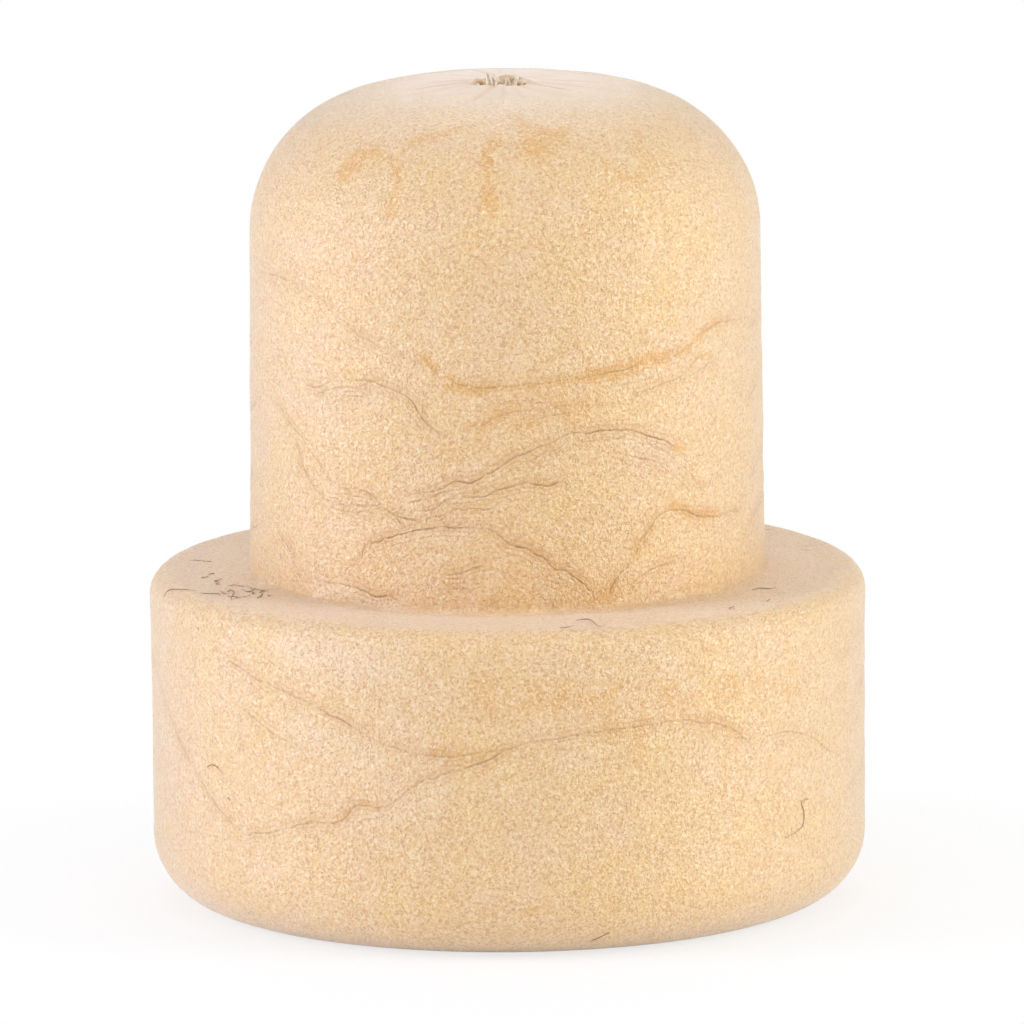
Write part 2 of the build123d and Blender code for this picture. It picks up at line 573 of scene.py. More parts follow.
# %% Smooth routes with a small wander
STEP = 0.12
WANDER = 0.035
WANDER_STEP = 0.45
ECHO_GAP = 0.24
ECHO_WANDER = 1.5 * WANDER
SHORTEST_ECHO = 8
CHART_R = {HEAD: head_r, SHANK: shank_r}


def smooth_route(part, points):
    """Points in degrees and millimetres become a close, slightly wandering line in millimetres."""
    flat = np.array([(math.radians(a) * CHART_R[part], h) for a, h in points])
    gaps = np.maximum(np.hypot(*np.diff(flat, axis=0).T), 1e-6)
    at = np.concatenate([[0], np.cumsum(gaps)])
    if len(flat) > 2:
        slopes = np.gradient(flat, at, axis=0)
    else:
        slopes = np.repeat([(flat[1] - flat[0]) / at[1]], 2, 0)
    run = np.linspace(0, at[-1], max(3, int(at[-1] / STEP)))
    leg = np.clip(np.searchsorted(at, run, side="right") - 1, 0, len(gaps) - 1)
    t = ((run - at[leg]) / gaps[leg])[:, None]
    length = gaps[leg][:, None]
    return (
        (2 * t**3 - 3 * t**2 + 1) * flat[leg]
        + (t**3 - 2 * t**2 + t) * length * slopes[leg]
        + (3 * t**2 - 2 * t**3) * flat[leg + 1]
        + (t**3 - t**2) * length * slopes[leg + 1]
    )


def wander(line, amount):
    """Shifts a line sideways by smooth seeded noise, and also gives its sideways directions."""
    along = np.gradient(line, axis=0)
    along /= np.hypot(*along.T)[:, None]
    side = np.stack([-along[:, 1], along[:, 0]], axis=1)
    bends = max(4, int(len(line) * STEP / WANDER_STEP))
    coarse = np.array([draw.gauss(0, 1) for _ in range(bends)])
    push = np.interp(np.linspace(0, len(coarse) - 1, len(line)), np.arange(len(coarse)), coarse)
    return line + side * (push * amount)[:, None], side


routes = []
for part, depth, points, *echoes in FOLDS:
    line, side = wander(smooth_route(part, points), WANDER)
    routes.append((part, depth, line))
    flip = 1 if line[-1, 0] > line[0, 0] else -1
    for way, count in zip((-1, 1), echoes):
        for k in range(1, count + 1):
            first = int(len(line) * draw.uniform(0.0, 0.3))
            last = int(len(line) * draw.uniform(0.6, 1.0))
            offset = side * flip * way * ECHO_GAP * (k + draw.uniform(-0.15, 0.15))
            echo = (line + offset)[first:last]
            if len(echo) > SHORTEST_ECHO:
                fainter = depth * draw.uniform(0.35, 0.6)
                routes.append((part, fainter, wander(echo, ECHO_WANDER)[0]))
print(len(routes), "routes with their echoes")

# %% [markdown]
# ## From routes to numbers on the mesh
#
# A fold is thinner than one cell of the mesh, so painting it on the points would break it into
# dashes. Instead each point stores how far it is from the fold, with a sign for the side. That
# number passes smoothly through zero, so the shader finds a sharp line between the points.
# Neighbouring folds would confuse each other, so they are dealt out to several sheets, like the
# colours of a map.

# %% Points of the skin
stack = np.array([r[:6] for r in rings])
thins = np.array([r[6] for r in rings])
ring_angles = [spoke_angles[:: 2**thin] for thin in thins]
counts = np.array([len(a) for a in ring_angles])
starts = np.concatenate([[0], np.cumsum(counts)])
angle = np.concatenate(ring_angles)
which = np.repeat(np.arange(len(rings)), counts)
r, z, out, up, part_of, height = stack[which].T
across = np.sin(angle) * r
ahead = -np.cos(angle) * r
print(len(angle), "points")

# %% Signed distance from a route
SHEETS = 5
NEAR = 0.55
CLEAR = 1.15
REACH = 2.0


def nearest(line, part):
    """Points of that part near the line: their numbers, signed distance and place along the line."""
    radius = CHART_R[part]
    turn = 2 * math.pi * radius
    centre = line[:, 0].mean()
    x = angle * radius
    x = x - np.round((x - centre) / turn) * turn
    inside = part_of == part
    for values, limits in ((x, line[:, 0]), (height, line[:, 1])):
        inside = inside & (values > limits.min() - REACH) & (values < limits.max() + REACH)
    chosen = np.nonzero(inside)[0]
    spot = np.stack([x[chosen], height[chosen]], axis=1)
    start, leg = line[:-1], np.diff(line, axis=0)
    square = (leg**2).sum(1)
    best = np.full(len(chosen), np.inf)
    offset = np.zeros(len(chosen))
    along = np.zeros(len(chosen))
    for k in range(len(leg)):
        to = spot - start[k]
        t = np.clip(to @ leg[k] / square[k], 0, 1)
        gap = to - t[:, None] * leg[k]
        far = np.hypot(gap[:, 0], gap[:, 1])
        closer = far < best
        best[closer] = far[closer]
        side = np.sign(leg[k][0] * to[closer, 1] - leg[k][1] * to[closer, 0])
        offset[closer] = far[closer] * side
        along[closer] = (k + t[closer]) * STEP
    return chosen, offset, along


# %% Deal the routes out to the sheets
SPARSE = 4
sheets = []
sheet_lines = [[] for _ in range(SHEETS)]
for part, depth, line in routes:
    sparse = line[::SPARSE]
    gaps = []
    for held in sheet_lines:
        others = [other for its_part, other in held if its_part == part]
        near = [np.hypot(*(sparse[:, None] - other[None]).T).min() for other in others]
        gaps.append(min(near, default=math.inf))
    sheet = next((k for k, gap in enumerate(gaps) if gap > CLEAR), int(np.argmax(gaps)))
    sheet_lines[sheet].append((part, sparse))
    sheets.append(sheet)
print("routes on each sheet:", [len(held) for held in sheet_lines])

# %% Lay the folds on the skin
fold_offset = np.full((SHEETS, len(angle)), NEAR)
fold_depth = np.zeros((SHEETS, len(angle)))
relief = np.zeros(len(angle))
END_FADE = 1.1
END_RISE = 1.4
FLICKER, FLICKER_SWING = 0.75, 0.35
QUICK_TURNS, SLOW_TURNS = 1.7, 0.53
PLATEAU_EDGE = 0.2
# each hump's height, place across the fold and half width, in mm
GROOVE, GROOVE_HALF = 0.025, 0.14
LIP, LIP_AT, LIP_HALF = 0.03, 0.3, 0.25
FAR_SHARE, FAR_AT, FAR_HALF = 0.3, -0.5, 0.4


def hump(distance, half):
    """1 at no distance, falling softly to nothing beyond the half width."""
    return np.exp(-((distance / half) ** 2))


for (part, depth, line), sheet in zip(routes, sheets):
    chosen, offset, along = nearest(line, part)
    total = (len(line) - 1) * STEP
    ends = np.clip(np.minimum(along, total - along) / END_FADE, 0, 1)
    waves = np.sin(along * QUICK_TURNS + depth * 9) * np.sin(along * SLOW_TURNS + 1)
    strength = depth * np.clip(ends * END_RISE, 0, 1) * (FLICKER + FLICKER_SWING * waves)
    beside_it = np.abs(offset)
    plateau = np.clip((NEAR - beside_it) / PLATEAU_EDGE, 0, 1)
    closer = beside_it < np.abs(fold_offset[sheet][chosen])
    took = chosen[closer]
    fold_offset[sheet][took] = offset[closer]
    fold_depth[sheet][took] = (strength * plateau)[closer]
    groove = -GROOVE * hump(offset, GROOVE_HALF)
    lips = LIP * (hump(offset - LIP_AT, LIP_HALF) + FAR_SHARE * hump(offset - FAR_AT, FAR_HALF))
    relief[chosen] += strength * (groove + lips)
print(f"folds on {SHEETS} sheets; relief {relief.min():.3f} to {relief.max():.3f} mm")

# %% [markdown]
# ## Amber marks, crown and gate
#
# Where hot foam lingered it turned amber. The marks are strokes: a route, a half width and a
# strength, spread softly over the points, and the shader breaks up their edges.
#
# The crown is different. It set first against the cold mould, so it is smooth and greyish, with
# shrink lines that run out from the gate like pleats. The gate itself was torn off, and left a
# crater with a few pits.

# %% Amber strokes
# half width, strength, points
SHANK_STROKES = [
    (0.45, 1.0, [(-44, 30.1), (-42.5, 30.7)]),
    (0.3, 0.6, [(-41, 31.1), (-30, 31), (-28, 31.7), (-25, 32), (-20, 32.3), (-16, 32.7)]),
    (0.28, 0.55, [(-30, 30.9), (-29, 30.4), (-27, 29.9), (-27.5, 28.6)]),
    (0.3, 0.7, [(-1, 32), (-5, 31.6), (-4.5, 30.9), (-4.5, 30.1), (-4, 29.4), (-3.5, 28.9)]),
    (0.5, 0.7, [(5, 33.3), (9, 32.4), (12, 32.3), (19, 32.3)]),
    (0.45, 0.9, [(7, 31.6), (11, 31.6)]),
    (0.35, 0.4, [(25, 33.4), (29, 33.4)]),
    (0.35, 0.45, [(46, 32.2), (42, 31.4), (40, 31)]),
    (0.3, 0.45, [(28, 30.4), (32, 29.8), (42, 30.5)]),
    (0.25, 0.4, [(23, 29.2), (25, 29.3)]),
    (0.3, 0.35, [(-11, 31.1), (-9, 31.2)]),
    (0.3, 0.35, [(-10, 33), (-8, 33.1)]),
    (0.28, 0.7, [(-18.5, 23), (-16.5, 22.8)]),
    (0.3, 0.8, [(-12, 22.1), (-7.5, 21.85), (-5.5, 21.8)]),
    (0.18, 0.55, [(-4, 21.9), (8, 22), (18, 22.2)]),
    (0.26, 1.1, [(19, 22.25), (24, 22.3), (30, 22.48), (35, 22.68), (38, 22.62)]),
    (0.14, 0.7, [(38, 22.62), (45, 22.9), (50, 23.4), (53, 23.58), (61, 23.55)]),
    (0.2, 0.9, [(40.5, 19.1), (42.5, 18.95)]),
    (0.2, 0.9, [(40, 16.8), (42, 16.6), (45, 16.4), (54, 16.1)]),
    (0.22, 0.5, [(29.5, 15.1), (31, 15.6), (34, 16.2)]),
    (0.3, 0.6, [(20, 13.6), (22, 13.3), (24, 14)]),
    (0.14, 0.5, [(45, 22.1), (47, 22.35), (52, 22.5)]),
    (0.7, 0.42, [(-6, 20.4), (0, 20.7), (6, 20.95), (12, 21.1), (18, 21.15)]),
    (0.5, 0.3, [(-13, 19.6), (-10, 19.3)]),
    (0.8, 0.22, [(-45, 18.3), (-38, 18), (-30, 18.1)]),
    (0.6, 0.3, [(-7, 13.5), (-2, 13.6), (3, 13.4)]),
    (0.5, 0.3, [(6, 15.5), (12, 15.2)]),
]
HEAD_STROKES = [
    (0.9, 0.35, [(-4, 10.6), (8, 10.4), (20, 10.2), (34, 10.1), (50, 9.8)]),
    (0.5, 0.35, [(16, 9.1), (31, 9.2), (38, 8.7)]),
    (0.35, 0.4, [(20.5, 9), (21.2, 8.4), (20.8, 7.8)]),
    (0.4, 0.35, [(-12, 8.3), (0, 8.4), (6, 8.7)]),
    (0.3, 0.3, [(-29, 5.3), (-25, 5.8), (-20, 6.1)]),
    (0.9, 0.25, [(-1, 2.1), (3, 1.8)]),
    (0.35, 0.3, [(-52, 4.9), (-49, 4.3), (-45, 3.6)]),
]
STROKES = [(SHANK, *stroke) for stroke in SHANK_STROKES]
STROKES += [(HEAD, *stroke) for stroke in HEAD_STROKES]
# seeded strokes behind, whose points are a few degrees apart
BACK_STROKES = 26
HEAD_SHARE = 0.35
APART = 3
SOFTNESS = 1.25
mark_draw = random.Random(19)
for _ in range(BACK_STROKES):
    at = mark_draw.uniform(62, 298)
    on_head = mark_draw.random() < HEAD_SHARE
    if on_head:
        up_skin = mark_draw.uniform(3, 11)
    else:
        up_skin = mark_draw.choice([mark_draw.uniform(29, 33), mark_draw.uniform(14, 24)])
    drift = mark_draw.uniform(-0.6, 0.6)
    points = [(at + APART * k, up_skin + drift * k) for k in range(mark_draw.randint(2, 4))]
    half = mark_draw.uniform(0.2, 0.45)
    STROKES.append((HEAD if on_head else SHANK, half, mark_draw.uniform(0.3, 0.8), points))


def spread(strokes):
    """One number for each point: how much of the strokes' colour it holds."""
    held = np.zeros(len(angle))
    for part, half, strength, points in strokes:
        chosen, offset, _ = nearest(smooth_route(part, points), part)
        soft = strength * hump(offset, half * SOFTNESS)
        held[chosen] = np.maximum(held[chosen], soft)
    return held


amber = spread(STROKES)
print(len(STROKES), "amber strokes")

# %% Pale strokes of painted highlight on the shank and the head
# part, half width, strength, points
HIGHLIGHT_STROKES = [
    (SHANK, 0.28, 1.0, [(-46, 13.45), (-38, 13.5), (-33, 13.35), (-28, 13.2), (-24, 13.05)]),
    (SHANK, 0.25, 0.6, [(-24, 16.0), (-18, 16.12), (-10, 16.1)]),
    (SHANK, 0.3, 0.5, [(24, 19.7), (32, 19.45), (38, 19.05), (41, 18.5)]),
    (SHANK, 0.3, 0.5, [(-44, 21.45), (-36, 21.5), (-30, 21.4)]),
    (HEAD, 0.5, 0.7, [(-38, 12), (-30, 11.8), (-18, 11.6)]),
    (HEAD, 0.6, 0.45, [(-36, 8.9), (-28, 8.5), (-22, 7.9)]),
    (HEAD, 0.4, 0.45, [(-24, 5.6), (-17, 6.1), (-10, 6.9)]),
]
painted_highlight = spread(HIGHLIGHT_STROKES)
print(len(HIGHLIGHT_STROKES), "pale strokes")

# %% Painted shade in the corner round the root of the shank
CORNER_SHADE_REACH = 0.45
SLACK = 0.01
from_corner = np.where(z < shoulder_z + SLACK, r - ledge_in, z - shoulder_z)
near_corner = hump(np.maximum(from_corner, 0), CORNER_SHADE_REACH)
corner_shade = np.where(z > shoulder_z - 2 * SLACK, near_corner, 0)
print("corner dust on", int((corner_shade > 0.1).sum()), "points")

# %% Crown skin and its pleats
CROWN_SKIN_R = 5.3
CROWN_WAVER = 1.3
CROWN_FADE = 2.2
CROWN_ZONE = 6.5
CROWN_GRAIN = 0.9
on_crown = (part_of == SHANK) & (z > shank_high) & (r < CROWN_ZONE)
crown_points = np.nonzero(on_crown)[0]
crown_noise = np.zeros(len(angle))
for k in crown_points:
    crown_noise[k] = noise.noise(Vector((across[k] * CROWN_GRAIN, ahead[k] * CROWN_GRAIN, 4.0)))


def crown_only(values):
    return np.where(on_crown, values, 0)


skin_edge = CROWN_SKIN_R + CROWN_WAVER * crown_noise
crown_skin = crown_only(np.clip((skin_edge - r) / CROWN_FADE, 0, 1))

PLEATS = 25
PLEAT_DEPTH = 0.035
PLEAT_IN, PLEAT_OUT = 0.3, 1.2
BOW_REACH = 4
pleat_draw = random.Random(11)
pleat = np.zeros(len(angle))
pleat_r = r[crown_points]
for k in range(PLEATS):
    bearing = (k + pleat_draw.uniform(-0.35, 0.35)) / PLEATS * 2 * math.pi
    bow = pleat_draw.uniform(-0.12, 0.12)
    inner = pleat_draw.uniform(1.0, 1.6)
    outer = pleat_draw.uniform(2.6, 5.2)
    width = pleat_draw.uniform(0.05, 0.13)
    depth = pleat_draw.uniform(0.4, 1.0)
    off = angle[crown_points] - bearing - bow * (pleat_r - inner) / BOW_REACH
    off = np.abs((off + math.pi) % (2 * math.pi) - math.pi)
    fade = np.clip((pleat_r - inner) / PLEAT_IN, 0, 1)
    fade = fade * np.clip((outer - pleat_r) / PLEAT_OUT, 0, 1)
    line = depth * fade * hump(off * pleat_r, width) * (off < 1)
    pleat[crown_points] = np.maximum(pleat[crown_points], line)
relief -= PLEAT_DEPTH * pleat
print(PLEATS, "pleats round the gate")

# %% Gate crater
GATE_R = 1.0
GATE_Y = -0.35
GATE_DEPTH = 0.22
GATE_WAVER = 0.25
BOWL_POWER = 0.6
BOWL_SHADE, CENTRE_SHADE = 0.15, 0.4
PIT_SHARP, PIT_HOLLOW = 1.3, 0.6
MOUND_AT, MOUND_RISE = 1.3, 0.55
EDGE_AT, EDGE_HALF, EDGE_RISE = 1.08, 0.16, 0.05
EDGE_BASE, EDGE_WAVER = 0.6, 0.9
# x, y, reach and depth of each pit, in mm
PITS = [
    (-0.88, -0.75, 0.27, 0.4),
    (-0.15, -0.95, 0.28, 0.55),
    (0.52, -0.75, 0.33, 0.4),
    (0.15, 0.2, 0.26, 0.25),
]
from_gate = np.hypot(across, ahead - GATE_Y)
bowl_r = GATE_R * (1 + GATE_WAVER * crown_noise)
bowl = crown_only(np.clip(1 - (from_gate / bowl_r) ** 2, 0, 1))
relief -= GATE_DEPTH * bowl**BOWL_POWER
pit = np.zeros(len(angle))
for x, y, reach, depth in PITS:
    aside = (across - x) ** 2
    hollow = crown_only(np.exp(-((aside + (ahead - y) ** 2) / reach**2) * PIT_SHARP))
    mound = crown_only(np.exp(-(aside + (ahead - y - MOUND_AT * reach) ** 2) / reach**2))
    pit = np.maximum(pit, hollow)
    relief += depth * (MOUND_RISE * mound - PIT_HOLLOW * hollow)
edge = crown_only(hump(from_gate - GATE_R * EDGE_AT, EDGE_HALF))
relief += EDGE_RISE * edge * (EDGE_BASE + EDGE_WAVER * crown_noise)
print("gate relief down to", relief.min().round(2), "mm")

# %% [markdown]
# ## Skin
#
# Last comes the unevenness of every foam moulding: slow swells of a few hundredths of a millimetre,
# enough to bend the highlights. Then the rings are joined. Where a ring has half as many points as
# its neighbour, three triangles bridge each pair, so the skin stays closed.

# %% Slow unevenness and the finished points
SWELL, SWELL_MM = 0.045, 5.0
DIMPLE, DIMPLE_MM = 0.018, 1.4
ELSEWHERE = Vector((9, 3, 5))
ROOT_FLARE = 0.07
TIP_DRAW = -0.03
FLARE_FADE = 2
STANDING_FADE = 1.5
slow = np.zeros(len(angle))
for k in range(len(angle)):
    spot = Vector((across[k], ahead[k], z[k]))
    dimple = noise.noise(spot / DIMPLE_MM + ELSEWHERE)
    slow[k] = SWELL * noise.noise(spot / SWELL_MM) + DIMPLE * dimple
standing = np.clip(z / STANDING_FADE, 0, 1)
climb = np.clip((z - shank_low) / (shank_high - shank_low), 0, 1)
flare = np.where(part_of == SHANK, ROOT_FLARE + (TIP_DRAW - ROOT_FLARE) * climb, 0)
flare *= np.clip((shank_high + FLARE_FADE - z) / FLARE_FADE, 0, 1)
push = (relief + slow + flare) * standing
wide = r + out * push
points = np.stack([np.sin(angle) * wide, -np.cos(angle) * wide, z + up * push], axis=1)
foot_centre = len(points)
top_centre = foot_centre + 1
inner_ring = points[starts[-2] :]
points = np.vstack([points, [[0, 0, 0]], [[0, 0, inner_ring[:, 2].mean()]]])

# %% Faces
faces = []
for lower in range(len(rings) - 1):
    low_first, high_first = starts[lower : lower + 2]
    low_n, high_n = counts[lower : lower + 2]
    for k in range(min(low_n, high_n)):
        a0, b0 = low_first + k, high_first + k
        a1, b1 = low_first + (k + 1) % low_n, high_first + (k + 1) % high_n
        if low_n == high_n:
            faces.append((a0, a1, b1, b0))
        elif low_n > high_n:
            a0, a1, a2 = low_first + 2 * k, low_first + 2 * k + 1, low_first + (2 * k + 2) % low_n
            faces += [(a0, a1, b0), (a1, b1, b0), (a1, a2, b1)]
        else:
            b0, b1, b2 = high_first + 2 * k, high_first + 2 * k + 1, high_first + (2 * k + 2) % high_n
            faces += [(a0, b1, b0), (a0, a1, b1), (a1, b2, b1)]
faces += [(foot_centre, (k + 1) % counts[0], k) for k in range(counts[0])]
last, around = starts[-2], counts[-1]
faces += [(top_centre, last + k, last + (k + 1) % around) for k in range(around)]
triangles = sum(len(f) - 2 for f in faces)
print(len(faces), "faces,", triangles, "triangles")

skin_mesh = bpy.data.meshes.new("stopper_skin")
skin_mesh.from_pydata([tuple(p) for p in points * MM], [], faces)
skin_mesh.polygons.foreach_set("use_smooth", [True] * len(faces))


def store(name, values, centres=(0.0, 0.0)):
    """Keeps one number for each point of the skin."""
    layer = skin_mesh.attributes.new(name, "FLOAT", "POINT")
    layer.data.foreach_set("value", np.append(values, centres).astype(np.float32))


for k in range(SHEETS):
    store(f"fold_offset_{k}", fold_offset[k], (NEAR, NEAR))
    store(f"fold_depth_{k}", fold_depth[k])
store("amber", amber)
# where the painted highlights lie
store("painted_highlight", painted_highlight)
# painted shade in the root corner
store("corner_shade", corner_shade)
store("crown_skin", crown_skin, (0.0, 1.0))
store("pleat", pleat)
# painted shade in the gate's pits, its bowl and its centre
store("pit", np.clip(pit + BOWL_SHADE * bowl, 0, 1), (0.0, CENTRE_SHADE))
skin = in_scene("stopper_skin", skin_mesh)

# %% [markdown]
# ## Foam skin
#
# The foam is cream plastic with a suede-like skin. Two noises make its grain: a distorted one,
# whose hollows are darkened with painted shade and whose crests are lightened with painted
# highlight, and a finer one that breaks it up. The same noises raise and lower the surface a
# little. The colours are layers, each laid over the last.

# %% Foam colours, sizes and shares
CREAM = srgb(238, 200, 140)
CREAM_PINK = srgb(240, 204, 156)
CREAM_YELLOW = srgb(240, 202, 134)
BLUSH = srgb(235, 190, 148)
# dark of the grain, its lines and the pleats, and also the painted shade in the grain's hollows
GRAIN_AND_SHADE_DARK = srgb(205, 149, 94)
# painted highlight on the grain's crests
PAINTED_CREST_HIGHLIGHT = srgb(255, 234, 200)
AMBER = srgb(232, 176, 84)
FOLD_BROWN = srgb(166, 116, 56)
# tan of the stains beside the folds, and also of the painted shade in the root corner
STAIN_AND_SHADE_TAN = srgb(218, 168, 102)
CROWN_GREY = srgb(194, 168, 141)
# colour of the painted highlights
HIGHLIGHT_CREAM = srgb(248, 224, 188)
# colour of the painted shade in the gate
PIT_SHADE_BROWN = srgb(140, 88, 38)
FOLD_HALF = 0.05
STAIN_HALF = 0.4
STAIN_SHIFT = -0.08
LAMINA_TURNS = 34.0
FOLD_SHIVER = 0.1
CROWN_SMOOTHS = 0.85
# features for each millimetre
WORMS_PER_MM = 8.6
FINE_PER_MM = 11.0
SHIVER_PER_MM = 3.2
PATCHES_PER_MM = 0.35
BLOTCH_PER_MM = 1.1
# how far each layer of colour covers what lies under it
BLUSH_SHARE = 0.5
CROWN_SHARE = 0.6
AMBER_SHARE = 0.9
HOLLOW_SHADE_SHARE = 0.64
FINE_SHARE = 0.25
CREST_HIGHLIGHT_SHARE = 0.6
LINE_SHARE = 0.45
FOLD_SHARE = 0.75
PIT_SHARE = 0.9
# rise in mm
WORM_RISE = 0.062
FINE_RISE = 0.05
BLOTCH_RISE = 0.04
FOLD_SINK = 0.04
PLEAT_SINK = 0.01
# roughness of the foam, and what the crown and the fine grain add to it
ROUGH = 0.33
ROUGH_CROWN = 0.27
ROUGH_FINE = 0.3

# %% Foam material
def foam_material():
    board = Board(bpy.data.materials.new("foam_skin"))
    place = board.place_mm()
    names = ("crown_skin", "pleat", "pit", "amber", "corner_shade", "painted_highlight")
    crown, pleats, pits, marks, corner, highlight_mask = [board.vertex_value(name) for name in names]
    worms = board.grain(place, WORMS_PER_MM, 1.0, 0.55, 0.9)
    fine = board.grain(place, FINE_PER_MM, 2.0, 0.6, 0.4)
    shiver = board.grain(place, SHIVER_PER_MM, 1.0)
    patches = board.grain(place, PATCHES_PER_MM, 3.0, 0.55)
    blotch = board.grain(place, BLOTCH_PER_MM, 3.0, 0.6)

    fold, lamina, stain = 0.0, 0.0, 0.0
    for k in range(SHEETS):
        offset = board.vertex_value(f"fold_offset_{k}") + (shiver - 0.5) * FOLD_SHIVER
        depth = board.vertex_value(f"fold_depth_{k}")
        line = board.ease(abs(offset), 0.0, FOLD_HALF, 1.0, 0.0) * depth
        wave = board.maths("SINE", offset * LAMINA_TURNS)
        beside = board.ease(abs(offset + STAIN_SHIFT), 0.0, STAIN_HALF, 1.0, 0.0) * depth
        fold = board.maths("MAXIMUM", fold, line)
        lamina = wave * depth + lamina
        stain = board.maths("MAXIMUM", stain, beside)
    fold = fold * board.ease(shiver, 0.3, 0.6, 0.45, 1.0)

    rough_skin = 1 - crown * CROWN_SMOOTHS
    # painted relief shading: shade in the hollows of the grain and highlight on its crests
    hollow = board.ease(worms, 0.5, 0.3) * rough_skin
    crest_highlight = board.ease(worms, 0.5, 0.7) * rough_skin
    broken = board.ease(marks + (blotch - 0.5) * 0.9 + (fine - 0.5) * 0.6, 0.1, 0.8)
    layers = [
        (board.ease(patches, 0.36, 0.64), CREAM_PINK),
        (board.ease(blotch, 0.35, 0.65), CREAM),
        (board.ease(shiver, 0.5, 0.8) * BLUSH_SHARE, BLUSH),
        # painted highlight where the pale strokes lie
        (highlight_mask * board.ease(blotch, 0.3, 0.6, 0.3, 0.8), HIGHLIGHT_CREAM),
        (crown * CROWN_SHARE, CROWN_GREY),
        (broken * board.ease(marks, 0.0, 0.3) * AMBER_SHARE, AMBER),
        # painted shade in the grain's hollows, with the fine grain's own darker marks
        (hollow * HOLLOW_SHADE_SHARE + board.ease(fine, 0.5, 0.75) * FINE_SHARE, GRAIN_AND_SHADE_DARK),
        # painted highlight on the grain's crests
        (crest_highlight * CREST_HIGHLIGHT_SHARE, PAINTED_CREST_HIGHLIGHT),
        (board.ease(lamina, 0.0, 1.0) * LINE_SHARE, GRAIN_AND_SHADE_DARK),
        (stain * board.ease(blotch, 0.3, 0.6, 0.1, 0.48), STAIN_AND_SHADE_TAN),
        # painted shade in the corner round the root of the shank
        (corner * board.ease(blotch, 0.35, 0.6, 0.1, 0.5), STAIN_AND_SHADE_TAN),
        (pleats * LINE_SHARE, GRAIN_AND_SHADE_DARK),
        (fold * FOLD_SHARE, FOLD_BROWN),
        # painted shade in the gate's pits and bowl
        (board.ease(pits, 0.22, 0.6) * PIT_SHARE, PIT_SHADE_BROWN),
    ]
    colour = CREAM_YELLOW
    for share, over in layers:
        colour = board.blend(share, colour, over)

    grain_rise = (worms - 0.5) * WORM_RISE + (fine - 0.5) * FINE_RISE
    rise = grain_rise * rough_skin + (blotch - 0.5) * BLOTCH_RISE
    sockets = {
        "Base Color": colour,
        "Roughness": ROUGH + crown * ROUGH_CROWN + (fine - 0.5) * ROUGH_FINE,
        "Normal": board.bump(rise - fold * FOLD_SINK - pleats * PLEAT_SINK),
        "Specular IOR Level": 1.0,
        "Sheen Weight": 0.6,
        "Sheen Roughness": 0.45,
        "Subsurface Weight": 0.12,
        "Subsurface Radius": (0.6, 0.35, 0.2),
        "Subsurface Scale": 0.0004,
    }
    return board.plastic(sockets)


skin_mesh.materials.append(foam_material())
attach(skin, "root")
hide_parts(STOPPER)

# %% [markdown]
# ## Torn foam in the gate
#
# When the sprue was twisted off, thin flags of foam stayed upright on the crater's edge. They could
# be displaced out of the skin, but a flag leans over its own foot, and a height can't do that. So
# each one is a small closed sheet of its own: wide at its root, ragged and thin at its tip.

# %% Ragged flags
TORN = srgb(250, 240, 226)
TORN_DEEP = srgb(236, 208, 170)
FLAG_COLUMNS, FLAG_ROWS = 6, 6
FLAG_THICK = 0.05
FLAG_ROOT = 0.12
FLAG_TAPER = 0.55
FLAG_THINNING = 0.6
FLAG_RAGGED = 0.35
FLAG_RIPPLE, RIPPLE_TURNS = 0.05, 7
TORN_RISE = 0.03
# x and y of the root, width, height and lean to the right, in mm
FLAGS = [
    (-0.54, -1.1, 0.34, 0.52, -0.12),
    (-0.46, -0.95, 0.36, 0.36, 0.05),
    (-0.36, -1.2, 0.26, 0.2, 0.06),
    (-0.12, -1.35, 0.5, 0.08, 0.05),
    (0.16, -1.0, 0.3, 0.3, -0.05),
    (0.36, -1.1, 0.34, 0.16, 0.08),
    (0.3, -0.7, 0.3, 0.3, 0.1),
    (0.75, -0.9, 0.24, 0.12, 0.05),
    (-1.0, -1.0, 0.26, 0.08, -0.04),
    (-0.3, 0.3, 0.3, 0.2, -0.08),
    (0.45, 0.35, 0.3, 0.16, 0.06),
]
tear_draw = random.Random(23)


def flag(x, y, width, height, lean):
    """Points and faces of one flag: two ragged sheets that are joined round their edge."""
    foot = crown_middle + math.sqrt(CROWN_R**2 - x**2 - y**2) - FLAG_ROOT
    curl = tear_draw.uniform(-0.12, 0.12)
    ragged = [tear_draw.uniform(0.6, 1.0) for _ in range(FLAG_COLUMNS)]
    sheet = []
    for side in (-1, 1):
        for row in range(FLAG_ROWS):
            rise = row / (FLAG_ROWS - 1)
            for column in range(FLAG_COLUMNS):
                u = column / (FLAG_COLUMNS - 1) - 0.5
                half = width * (1 - FLAG_TAPER * rise)
                short = FLAG_RAGGED * rise * (1 - ragged[column]) * 2
                top = (height + FLAG_ROOT) * rise * (1 - short)
                thick = FLAG_THICK * (1 - FLAG_THINNING * rise) * side / 2
                bend = curl * rise**2 + FLAG_RIPPLE * math.sin(u * RIPPLE_TURNS + x * 9)
                sheet.append((x + u * half + lean * rise**2, y + bend + thick, foot + top))
    made = []
    grid = np.arange(FLAG_ROWS * FLAG_COLUMNS).reshape(FLAG_ROWS, FLAG_COLUMNS)
    layer = grid.size
    for k in grid[:-1, :-1].flat:
        quad = (k, k + 1, k + FLAG_COLUMNS + 1, k + FLAG_COLUMNS)
        made.append(quad)
        made.append(tuple(layer + quad[corner] for corner in (0, 3, 2, 1)))
    border = [*grid[0], *grid[1:, -1], *grid[-1, -2::-1], *grid[-2:0:-1, 0]]
    for here, there in zip(border, border[1:] + border[:1]):
        made.append((there, here, here + layer, there + layer))
    return sheet, made


